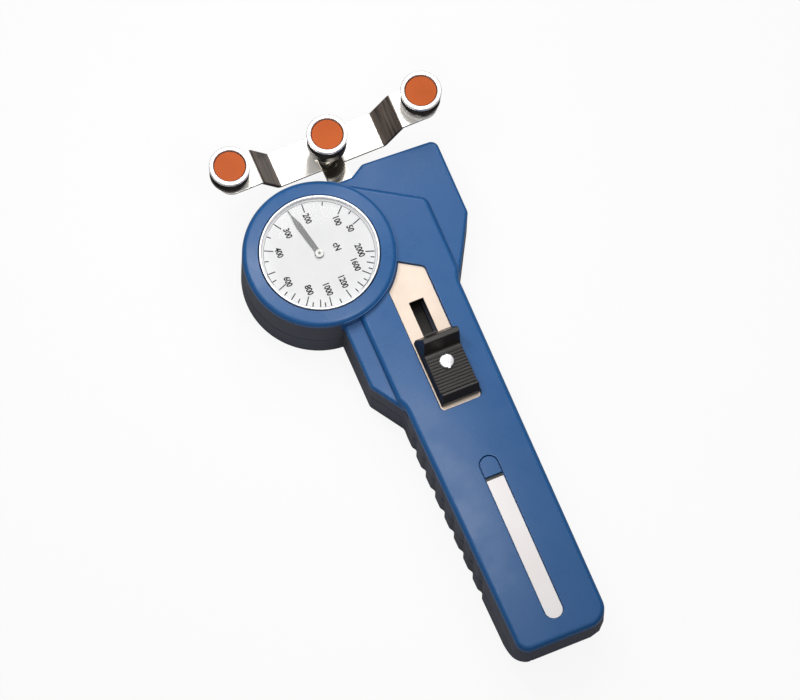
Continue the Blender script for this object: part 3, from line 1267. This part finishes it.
def make_bracket():
    """Build the joggled guide bracket, with rounded ends and holes for its axles and screws."""
    rise = BRACKET_END - BRACKET_MIDDLE
    slope = math.atan2(rise, BRACKET_JOGGLE_HALF - BRACKET_MIDDLE_HALF)
    shift = BRACKET_THICK * math.tan(slope / 2)
    half_top = [
        (BRACKET_MIDDLE_HALF, BRACKET_MIDDLE),
        (BRACKET_JOGGLE_HALF, BRACKET_END),
        (BRACKET_HALF, BRACKET_END),
    ]
    half_low = [
        (BRACKET_HALF, BRACKET_END - BRACKET_THICK),
        (BRACKET_JOGGLE_HALF + shift, BRACKET_END - BRACKET_THICK),
        (BRACKET_MIDDLE_HALF + shift, BRACKET_MIDDLE - BRACKET_THICK),
    ]
    right = half_top + half_low
    left = [(-x, z) for x, z in reversed(right)]
    shape = prism([(BRACKET_X + x, z) for x, z in right + left], BRACKET_LOW, BRACKET_TOP)
    for vertex in shape.verts:
        vertex.co = (vertex.co.x, vertex.co.z, vertex.co.y)
    bracket = make_piece("guide_bracket", shape, "steel", STEEL)
    corners = [
        (BRACKET_X - BRACKET_HALF, BRACKET_LOW, BRACKET_CORNER),
        (BRACKET_X + BRACKET_HALF, BRACKET_LOW, BRACKET_CORNER),
        (BRACKET_X + BRACKET_HALF, BRACKET_TOP, BRACKET_CORNER),
        (BRACKET_X - BRACKET_HALF, BRACKET_TOP, BRACKET_CORNER),
    ]
    combine(bracket, prism(rounded(corners), BAR_LOW, ROLLER_FRONT), "INTERSECT")
    for side in (-1, 1):
        place = (BRACKET_X + side * GUIDE_SPREAD, GUIDE_Y)
        cut(bracket, disc(AXLE_RADIUS + GAP, BAR_LOW, ROLLER_FRONT, place))
    for place in bracket_screw_places():
        cut(bracket, disc(BRACKET_SCREW_RADIUS + GAP, BAR_LOW, ROLLER_FRONT, place, SCREW_SIDES))


def bracket_screw_places():
    """Give the places of the two screws that hold the bracket on the slide bar."""
    middle = ((NECK_LEFT + NECK_RIGHT) / 2, (RISER_LOW + RISER_TOP) / 2)
    return [(middle[0], middle[1] + side * BRACKET_SCREW_SPREAD) for side in (-1, 1)]


def make_slide():
    """Build the slide bar, its screws, the thumb slider and the return spring."""
    outline = [
        (NECK_LEFT, NECK_BEND),
        (BAR_LEFT, BAR_BEND),
        (BAR_LEFT, BAR_END),
        (BAR_RIGHT, BAR_END),
        (BAR_RIGHT, BAR_BEND),
        (NECK_RIGHT, NECK_BEND),
        (NECK_RIGHT, RISER_TOP),
        (NECK_LEFT, RISER_TOP),
    ]
    high = BAR_LOW + BAR_THICK
    middle = BAR_LOW + BAR_THICK / 2
    bar = make_piece("slide_bar", prism(outline, BAR_LOW, high), "dark steel", DARK_STEEL)
    riser_high = BRACKET_MIDDLE - BRACKET_THICK - GAP
    join(bar, block(NECK_LEFT, NECK_RIGHT, RISER_LOW, RISER_TOP, middle, riser_high))
    post_high = SLIDER_BASE - GAP
    join(bar, block(POST_LEFT, POST_RIGHT, POST_LOW, POST_TOP, middle, post_high))
    screw = (SLIDER_SCREW_X, SLIDER_SCREW_Y)
    bore_low = SLIDER_SCREW_END - GAP
    cut(bar, disc(SLIDER_SCREW_SHANK + GAP, bore_low, post_high + OVERRUN, screw, SCREW_SIDES))
    for number, place in enumerate(bracket_screw_places(), 1):
        bore = (BAR_LOW - OVERRUN, BRACKET_MIDDLE)
        cut(bar, disc(BRACKET_SCREW_RADIUS + GAP, *bore, place, SCREW_SIDES))
        head_high = BAR_LOW - GAP
        profile = [
            (BRACKET_SCREW_HEAD, head_high - SCREW_HEAD_THICK),
            (BRACKET_SCREW_HEAD, head_high),
            (BRACKET_SCREW_RADIUS, head_high),
            (BRACKET_SCREW_RADIUS, BRACKET_MIDDLE - GAP),
        ]
        make_piece(f"bracket_screw_{number}", turned(profile, SCREW_SIDES), "steel", STEEL, (*place, 0))
    make_thumb_slider(screw)
    make_return_spring()


def slider_profile():
    """Give the thumb slider's side view as (y, z): base, toe, ribs and lip."""
    ribs = []
    for index in range(RIB_COUNT):
        y = TOE_CREST + TOE_RUN + index * RIB_PITCH
        ribs += [(y, SLIDER_DECK), (y + RIB_PITCH / 2, SLIDER_DECK)]
        floor = SLIDER_DECK - RIB_DEPTH
        ribs += [(y + RIB_PITCH / 2, floor), (y + RIB_PITCH, floor)]
    return [
        (SLIDER_TOP, SLIDER_BASE),
        (SLIDER_LOW, SLIDER_BASE),
        (SLIDER_LOW, SLIDER_BACK),
        (TOE_CREST, TOE_HEIGHT),
        (TOE_CREST + TOE_RUN / 2, TOE_HEIGHT),
        *ribs,
        (LIP_FOOT, SLIDER_DECK),
        (LIP_FACE, SLIDER_LIP),
        (LIP_BACK, SLIDER_LIP),
        (SLIDER_TOP, SLIDER_BACK),
    ]


def slider_side(profile, x, lean):
    """Give the side view at one side of the slider, leaning with its height."""
    return [(x + lean * (z - SLIDER_BASE), y, z) for y, z in profile]


def make_thumb_slider(screw):
    """Build the ribbed thumb slider and the slotted screw that holds it on its post."""
    profile = slider_profile()
    left = slider_side(profile, SLIDER_LEFT, SLIDER_LEFT_LEAN_SHARE)
    right = slider_side(profile, SLIDER_RIGHT, SLIDER_RIGHT_LEAN_SHARE)
    slider = make_piece("thumb_slider", loft([left, right]), "black plastic", BLACK)
    seat = SLIDER_SCREW_FRONT - SLIDER_SCREW_HEAD_THICK - GAP
    cut(slider, disc(SLIDER_SCREW_HEAD + GAP, seat, SLIDER_LIP, screw))
    bore = (SLIDER_BASE - OVERRUN, SLIDER_LIP)
    cut(slider, disc(SLIDER_SCREW_SHANK + GAP, *bore, screw, SCREW_SIDES))
    profile = [
        (SLIDER_SCREW_SHANK, SLIDER_SCREW_END),
        (SLIDER_SCREW_SHANK, seat + GAP),
        (SLIDER_SCREW_HEAD, seat + GAP),
        (SLIDER_SCREW_HEAD, SLIDER_SCREW_FRONT - SLIDER_SCREW_EDGE),
        (SLIDER_SCREW_HEAD - SLIDER_SCREW_EDGE, SLIDER_SCREW_FRONT),
    ]
    piece = make_piece("slider_screw", turned(profile), "steel", STEEL, (*screw, 0))
    half = SCREW_SLOT_WIDTH / 2
    low = SLIDER_SCREW_FRONT - 2 * SCREW_SLOT_DEPTH
    reach = SLIDER_SCREW_HEAD + GAP
    cut(piece, block(-half, half, -reach, reach, low, SLIDER_LIP))


def make_return_spring():
    """Build the tension spring that pulls the slide bar back, as one helix along Y."""
    middle_x = BAR_MIDDLE
    middle_z = BAR_LOW + BAR_THICK / 2
    top = BAR_END - GAP - COIL_WIRE
    low = COIL_LOW + GAP + COIL_WIRE
    count = COIL_TURNS * COIL_POINTS
    rings = []
    for index in range(count + 1):
        share = index / count
        angle = math.tau * COIL_TURNS * share
        outward = Vector((math.cos(angle), 0, math.sin(angle)))
        centre = Vector((middle_x, top + (low - top) * share, middle_z)) + outward * COIL_RADIUS
        along = Vector((0, 1, 0))
        ring = []
        for side in range(WIRE_SIDES):
            turn = math.tau * side / WIRE_SIDES
            ring.append(tuple(centre + (outward * math.cos(turn) + along * math.sin(turn)) * COIL_WIRE))
        rings.append(ring)
    smooth(make_piece("return_spring", loft(rings), "steel", STEEL), 60)
    print(f"return_spring: least gap between coils {(top - low) / COIL_TURNS - 2 * COIL_WIRE:.5f} m")


def hang(axis_name, place, names, carrier=None):
    """Hang pieces on an empty that stands on their joint's axis, without moving them."""
    axis = bpy.data.objects.new(axis_name, None)
    axis.location = place
    axis.parent = carrier
    if carrier:
        axis.matrix_parent_inverse = carrier.matrix_world.inverted()
    bpy.context.collection.objects.link(axis)
    bpy.context.view_layer.update()
    for name in names:
        piece = bpy.data.objects[name]
        piece.parent = axis
        piece.matrix_parent_inverse = axis.matrix_world.inverted()
    return axis


def roller_names(name):
    """Give the names of the four pieces of a roller that turn together."""
    return [f"{name}_{part}" for part in ("roller", "rim", "cap", "bearing")]


def make_axes():
    """Stand an empty on the axis of each joint and hang the joint's pieces on it."""
    carried = ["guide_bracket", "slide_bar", "bracket_screw_1", "bracket_screw_2"]
    carried += ["thumb_slider", "slider_screw", "guide_left_axle", "guide_right_axle"]
    carried += ["guide_left_nut", "guide_right_nut"]
    carriage = hang("carriage_axis", (BRACKET_X, GUIDE_Y, BAR_LOW), carried)
    for side, name in ((-1, "guide_left"), (1, "guide_right")):
        place = (BRACKET_X + side * GUIDE_SPREAD, GUIDE_Y, GROOVE_LEVEL)
        hang(f"{name}_axis", place, roller_names(name), carriage)
    arm = hang("arm_axis", (PIVOT_X, PIVOT_Y, ARM_LOW), ["measuring_arm", "measuring_axle"])
    place = (MEASURING_X, MEASURING_Y, GROOVE_LEVEL)
    hang("measuring_axis", place, roller_names("measuring"), arm)
    place = (ARBOR_X, ARBOR_Y, GEAR_LOW)
    hang("intermediate_axis", place, ["intermediate_gear", "intermediate_arbor"])
    hang("indicator_axis", (0, 0, DIAL_FRONT), ["pointer_arbor", "pointer", "pointer_hub"])


def main():
    """Build every piece of the gauge and hang the moving ones on their axes."""
    clear_scene()
    make_rear_cover()
    make_housing()
    make_front_cover()
    make_cover_screws()
    make_dial()
    make_pointer()
    make_gears()
    make_movement_frame()
    make_hairspring()
    make_arm()
    make_rollers()
    make_bracket()
    make_slide()
    make_axes()


main()
